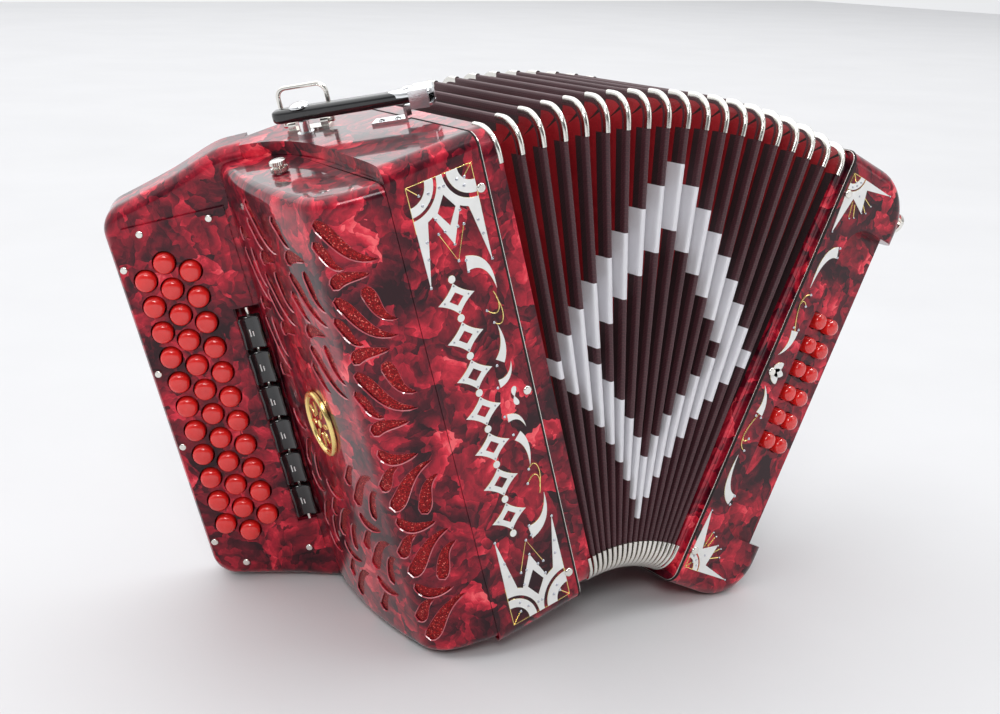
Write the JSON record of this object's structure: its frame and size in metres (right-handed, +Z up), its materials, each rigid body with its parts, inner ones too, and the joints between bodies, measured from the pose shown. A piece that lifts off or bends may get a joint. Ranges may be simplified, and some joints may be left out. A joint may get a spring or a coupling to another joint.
{
  "type": "button accordion",
  "caption": "Diatonic button accordion with a swept fingerboard, pierced grille, fanned bellows and a bass side with a hand strap, half open.",
  "frame": {"origin": "centre of the bottom of the box around the whole instrument, on the surface it stands on", "axes": "+X along the bellows from the treble side to the bass side, +Y from the front to the back, +Z up"},
  "size_m": [0.5244, 0.2278, 0.3593],
  "materials": {
    "pearl_shell": "red pearloid celluloid under clear gloss",
    "nickel": "bright nickel plate",
    "mesh": "red glitter cloth",
    "gilt": "polished gilt",
    "button_red": "polished",
    "black_plastic": "gloss black",
    "wood": "sanded spruce",
    "felt": "felt",
    "bellows_tape": "dark maroon cloth tape on card",
    "leather": "black padded leather"
  },
  "bodies": {
    "treble": {"treble_case": "pearl_shell", "fingerboard": "pearl_shell", "button_plate": "pearl_shell", "button_plate_screws": "nickel", "grille": "pearl_shell", "grille_mesh": "mesh", "grille_thumbscrews": "nickel", "grille_rosette": "gilt", "switch_axle": "nickel", "latch_bracket": "nickel", "strap_bracket_bases": "nickel", "treble_soundboard": "wood", "treble_reed_blocks": "wood", "treble_bellows_frame": "pearl_shell", "treble_bellows_pins": "nickel", "bellows_cloth": "bellows_tape"},
    "treble_button_row_outer": {"treble_buttons_outer": "button_red"},
    "pallet_row_outer": {"treble_pallets_outer": "felt"},
    "treble_button_row_middle": {"treble_buttons_middle": "button_red"},
    "pallet_row_middle": {"treble_pallets_middle": "felt"},
    "treble_button_row_inner": {"treble_buttons_inner": "button_red"},
    "pallet_row_inner": {"treble_pallets_inner": "felt"},
    "switch_1": {"register_switch_1": "black_plastic"},
    "switch_2": {"register_switch_2": "black_plastic"},
    "switch_3": {"register_switch_3": "black_plastic"},
    "switch_4": {"register_switch_4": "black_plastic"},
    "switch_5": {"register_switch_5": "black_plastic"},
    "switch_6": {"register_switch_6": "black_plastic"},
    "latch": {"latch_arm": "black_plastic"},
    "upper_bail": {"strap_bail_upper": "nickel"},
    "lower_bail": {"strap_bail_lower": "nickel"},
    "fold_01": {"bellows_fold_01": "bellows_tape"},
    "fold_02": {"bellows_fold_02": "bellows_tape"},
    "fold_03": {"bellows_fold_03": "bellows_tape"},
    "fold_04": {"bellows_fold_04": "bellows_tape"},
    "fold_05": {"bellows_fold_05": "bellows_tape"},
    "fold_06": {"bellows_fold_06": "bellows_tape"},
    "fold_07": {"bellows_fold_07": "bellows_tape"},
    "fold_08": {"bellows_fold_08": "bellows_tape"},
    "fold_09": {"bellows_fold_09": "bellows_tape"},
    "fold_10": {"bellows_fold_10": "bellows_tape"},
    "fold_11": {"bellows_fold_11": "bellows_tape"},
    "fold_12": {"bellows_fold_12": "bellows_tape"},
    "fold_13": {"bellows_fold_13": "bellows_tape"},
    "fold_14": {"bellows_fold_14": "bellows_tape"},
    "fold_15": {"bellows_fold_15": "bellows_tape"},
    "fold_16": {"bellows_fold_16": "bellows_tape"},
    "fold_17": {"bellows_fold_17": "bellows_tape"},
    "bass": {"bass_bellows_frame": "pearl_shell", "bass_bellows_pins": "nickel", "bass_case": "pearl_shell", "bass_cover": "pearl_shell", "bass_soundboard": "wood", "bass_reed_blocks": "wood", "bass_hand_strap": "leather"},
    "bass_button_column_inner": {"bass_buttons_inner": "button_red"},
    "bass_button_column_outer": {"bass_buttons_outer": "button_red"},
    "air_valve": {"air_button": "nickel"},
    "strap_wheel": {"strap_adjuster_wheel": "nickel"}
  },
  "joints": [
    {"name": "bellows_fan", "type": "hinge", "parent": "treble", "child": "fold_01", "pos_m": [-0.00837, -0.11208, 0.03933], "axis": [0, 1, 0], "range_deg": [-2.3, 1.2], "deforming": ["bellows_cloth"]},
    {"name": "fold_hinge_02", "type": "hinge", "parent": "fold_01", "child": "fold_02", "pos_m": [-0.00471, -0.11208, 0.04023], "axis": [0, 1, 0], "range_deg": [-2.3, 1.2]},
    {"name": "fold_hinge_03", "type": "hinge", "parent": "fold_02", "child": "fold_03", "pos_m": [-0.00102, -0.11208, 0.04099], "axis": [0, 1, 0], "range_deg": [-2.3, 1.2]},
    {"name": "fold_hinge_04", "type": "hinge", "parent": "fold_03", "child": "fold_04", "pos_m": [0.0027, -0.11208, 0.04158], "axis": [0, 1, 0], "range_deg": [-2.3, 1.2]},
    {"name": "fold_hinge_05", "type": "hinge", "parent": "fold_04", "child": "fold_05", "pos_m": [0.00644, -0.11208, 0.04203], "axis": [0, 1, 0], "range_deg": [-2.3, 1.2]},
    {"name": "fold_hinge_06", "type": "hinge", "parent": "fold_05", "child": "fold_06", "pos_m": [0.0102, -0.11208, 0.04232], "axis": [0, 1, 0], "range_deg": [-2.3, 1.2]},
    {"name": "fold_hinge_07", "type": "hinge", "parent": "fold_06", "child": "fold_07", "pos_m": [0.01396, -0.11208, 0.04245], "axis": [0, 1, 0], "range_deg": [-2.3, 1.2]},
    {"name": "fold_hinge_08", "type": "hinge", "parent": "fold_07", "child": "fold_08", "pos_m": [0.01773, -0.11208, 0.04243], "axis": [0, 1, 0], "range_deg": [-2.3, 1.2]},
    {"name": "fold_hinge_09", "type": "hinge", "parent": "fold_08", "child": "fold_09", "pos_m": [0.0215, -0.11208, 0.04226], "axis": [0, 1, 0], "range_deg": [-2.3, 1.2]},
    {"name": "fold_hinge_10", "type": "hinge", "parent": "fold_09", "child": "fold_10", "pos_m": [0.02525, -0.11208, 0.04193], "axis": [0, 1, 0], "range_deg": [-2.3, 1.2]},
    {"name": "fold_hinge_11", "type": "hinge", "parent": "fold_10", "child": "fold_11", "pos_m": [0.02899, -0.11208, 0.04144], "axis": [0, 1, 0], "range_deg": [-2.3, 1.2]},
    {"name": "fold_hinge_12", "type": "hinge", "parent": "fold_11", "child": "fold_12", "pos_m": [0.0327, -0.11208, 0.0408], "axis": [0, 1, 0], "range_deg": [-2.3, 1.2]},
    {"name": "fold_hinge_13", "type": "hinge", "parent": "fold_12", "child": "fold_13", "pos_m": [0.03639, -0.11208, 0.04001], "axis": [0, 1, 0], "range_deg": [-2.3, 1.2]},
    {"name": "fold_hinge_14", "type": "hinge", "parent": "fold_13", "child": "fold_14", "pos_m": [0.04004, -0.11208, 0.03907], "axis": [0, 1, 0], "range_deg": [-2.3, 1.2]},
    {"name": "fold_hinge_15", "type": "hinge", "parent": "fold_14", "child": "fold_15", "pos_m": [0.04365, -0.11208, 0.03798], "axis": [0, 1, 0], "range_deg": [-2.3, 1.2]},
    {"name": "fold_hinge_16", "type": "hinge", "parent": "fold_15", "child": "fold_16", "pos_m": [0.0472, -0.11208, 0.03674], "axis": [0, 1, 0], "range_deg": [-2.3, 1.2]},
    {"name": "fold_hinge_17", "type": "hinge", "parent": "fold_16", "child": "fold_17", "pos_m": [0.05071, -0.11208, 0.03536], "axis": [0, 1, 0], "range_deg": [-2.3, 1.2]},
    {"name": "fold_hinge_18", "type": "hinge", "parent": "fold_17", "child": "bass", "pos_m": [0.05415, -0.11208, 0.03383], "axis": [0, 1, 0], "range_deg": [-2.3, 1.2]},
    {"name": "press_treble_outer", "type": "slide", "parent": "treble", "child": "treble_button_row_outer", "axis": [0.4524, 0.8821, 0.131], "range_m": [0, 0.004], "stiffness_N_per_m": 400, "springref_m": -0.001},
    {"name": "lift_pallets_outer", "type": "slide", "parent": "treble", "child": "pallet_row_outer", "axis": [-0.9605, 0, -0.2782], "range_m": [0, 0.003]},
    {"name": "press_treble_middle", "type": "slide", "parent": "treble", "child": "treble_button_row_middle", "axis": [0.4524, 0.8821, 0.131], "range_m": [0, 0.004], "stiffness_N_per_m": 400, "springref_m": -0.001},
    {"name": "lift_pallets_middle", "type": "slide", "parent": "treble", "child": "pallet_row_middle", "axis": [-0.9605, 0, -0.2782], "range_m": [0, 0.003]},
    {"name": "press_treble_inner", "type": "slide", "parent": "treble", "child": "treble_button_row_inner", "axis": [0.4524, 0.8821, 0.131], "range_m": [0, 0.004], "stiffness_N_per_m": 400, "springref_m": -0.001},
    {"name": "lift_pallets_inner", "type": "slide", "parent": "treble", "child": "pallet_row_inner", "axis": [-0.9605, 0, -0.2782], "range_m": [0, 0.003]},
    {"name": "rock_switch_1", "type": "hinge", "parent": "treble", "child": "switch_1", "pos_m": [-0.17813, 0.05271, 0.18961], "axis": [-0.2782, 0, 0.9605], "range_deg": [-6, 6]},
    {"name": "rock_switch_2", "type": "hinge", "parent": "treble", "child": "switch_2", "pos_m": [-0.17092, 0.05271, 0.16473], "axis": [-0.2782, 0, 0.9605], "range_deg": [-6, 6]},
    {"name": "rock_switch_3", "type": "hinge", "parent": "treble", "child": "switch_3", "pos_m": [-0.16371, 0.05271, 0.13986], "axis": [-0.2782, 0, 0.9605], "range_deg": [-6, 6]},
    {"name": "rock_switch_4", "type": "hinge", "parent": "treble", "child": "switch_4", "pos_m": [-0.15651, 0.05271, 0.11498], "axis": [-0.2782, 0, 0.9605], "range_deg": [-6, 6]},
    {"name": "rock_switch_5", "type": "hinge", "parent": "treble", "child": "switch_5", "pos_m": [-0.1493, 0.05271, 0.0901], "axis": [-0.2782, 0, 0.9605], "range_deg": [-6, 6]},
    {"name": "rock_switch_6", "type": "hinge", "parent": "treble", "child": "switch_6", "pos_m": [-0.1421, 0.05271, 0.06523], "axis": [-0.2782, 0, 0.9605], "range_deg": [-6, 6]},
    {"name": "latch_flip", "type": "hinge", "parent": "treble", "child": "latch", "pos_m": [-0.10901, -0.04608, 0.35168], "axis": [0.6792, 0.7071, 0.1967], "range_deg": [0, 180]},
    {"name": "swing_upper_bail", "type": "hinge", "parent": "treble", "child": "upper_bail", "pos_m": [-0.15239, 0.01892, 0.32892], "axis": [-0.6792, 0.7071, -0.1967], "range_deg": [0, 75]},
    {"name": "swing_lower_bail", "type": "hinge", "parent": "treble", "child": "lower_bail", "pos_m": [-0.06287, 0.07012, 0.04855], "axis": [-0.9605, 0, -0.2782], "range_deg": [-25, 35]},
    {"name": "press_bass_inner", "type": "slide", "parent": "bass", "child": "bass_button_column_inner", "axis": [0, 1, 0], "range_m": [0, 0.004], "stiffness_N_per_m": 300, "springref_m": -0.001},
    {"name": "press_bass_outer", "type": "slide", "parent": "bass", "child": "bass_button_column_outer", "axis": [0, 1, 0], "range_m": [0, 0.004], "stiffness_N_per_m": 300, "springref_m": -0.001},
    {"name": "press_air_button", "type": "slide", "parent": "bass", "child": "air_valve", "axis": [-0.8963, 0, 0.4435], "range_m": [0, 0.004], "stiffness_N_per_m": 300, "springref_m": -0.001},
    {"name": "turn_strap_wheel", "type": "hinge", "parent": "bass", "child": "strap_wheel", "pos_m": [0.23904, -0.02208, 0.29049], "axis": [0.4435, 0, 0.8963], "continuous": true}
  ],
  "couplings": [
    {"joint": "fold_hinge_02", "follows": "bellows_fan", "ratio": 1},
    {"joint": "fold_hinge_03", "follows": "bellows_fan", "ratio": 1},
    {"joint": "fold_hinge_04", "follows": "bellows_fan", "ratio": 1},
    {"joint": "fold_hinge_05", "follows": "bellows_fan", "ratio": 1},
    {"joint": "fold_hinge_06", "follows": "bellows_fan", "ratio": 1},
    {"joint": "fold_hinge_07", "follows": "bellows_fan", "ratio": 1},
    {"joint": "fold_hinge_08", "follows": "bellows_fan", "ratio": 1},
    {"joint": "fold_hinge_09", "follows": "bellows_fan", "ratio": 1},
    {"joint": "fold_hinge_10", "follows": "bellows_fan", "ratio": 1},
    {"joint": "fold_hinge_11", "follows": "bellows_fan", "ratio": 1},
    {"joint": "fold_hinge_12", "follows": "bellows_fan", "ratio": 1},
    {"joint": "fold_hinge_13", "follows": "bellows_fan", "ratio": 1},
    {"joint": "fold_hinge_14", "follows": "bellows_fan", "ratio": 1},
    {"joint": "fold_hinge_15", "follows": "bellows_fan", "ratio": 1},
    {"joint": "fold_hinge_16", "follows": "bellows_fan", "ratio": 1},
    {"joint": "fold_hinge_17", "follows": "bellows_fan", "ratio": 1},
    {"joint": "fold_hinge_18", "follows": "bellows_fan", "ratio": 1},
    {"joint": "lift_pallets_outer", "follows": "press_treble_outer", "ratio": 0.75},
    {"joint": "lift_pallets_middle", "follows": "press_treble_middle", "ratio": 0.75},
    {"joint": "lift_pallets_inner", "follows": "press_treble_inner", "ratio": 0.75}
  ]
}
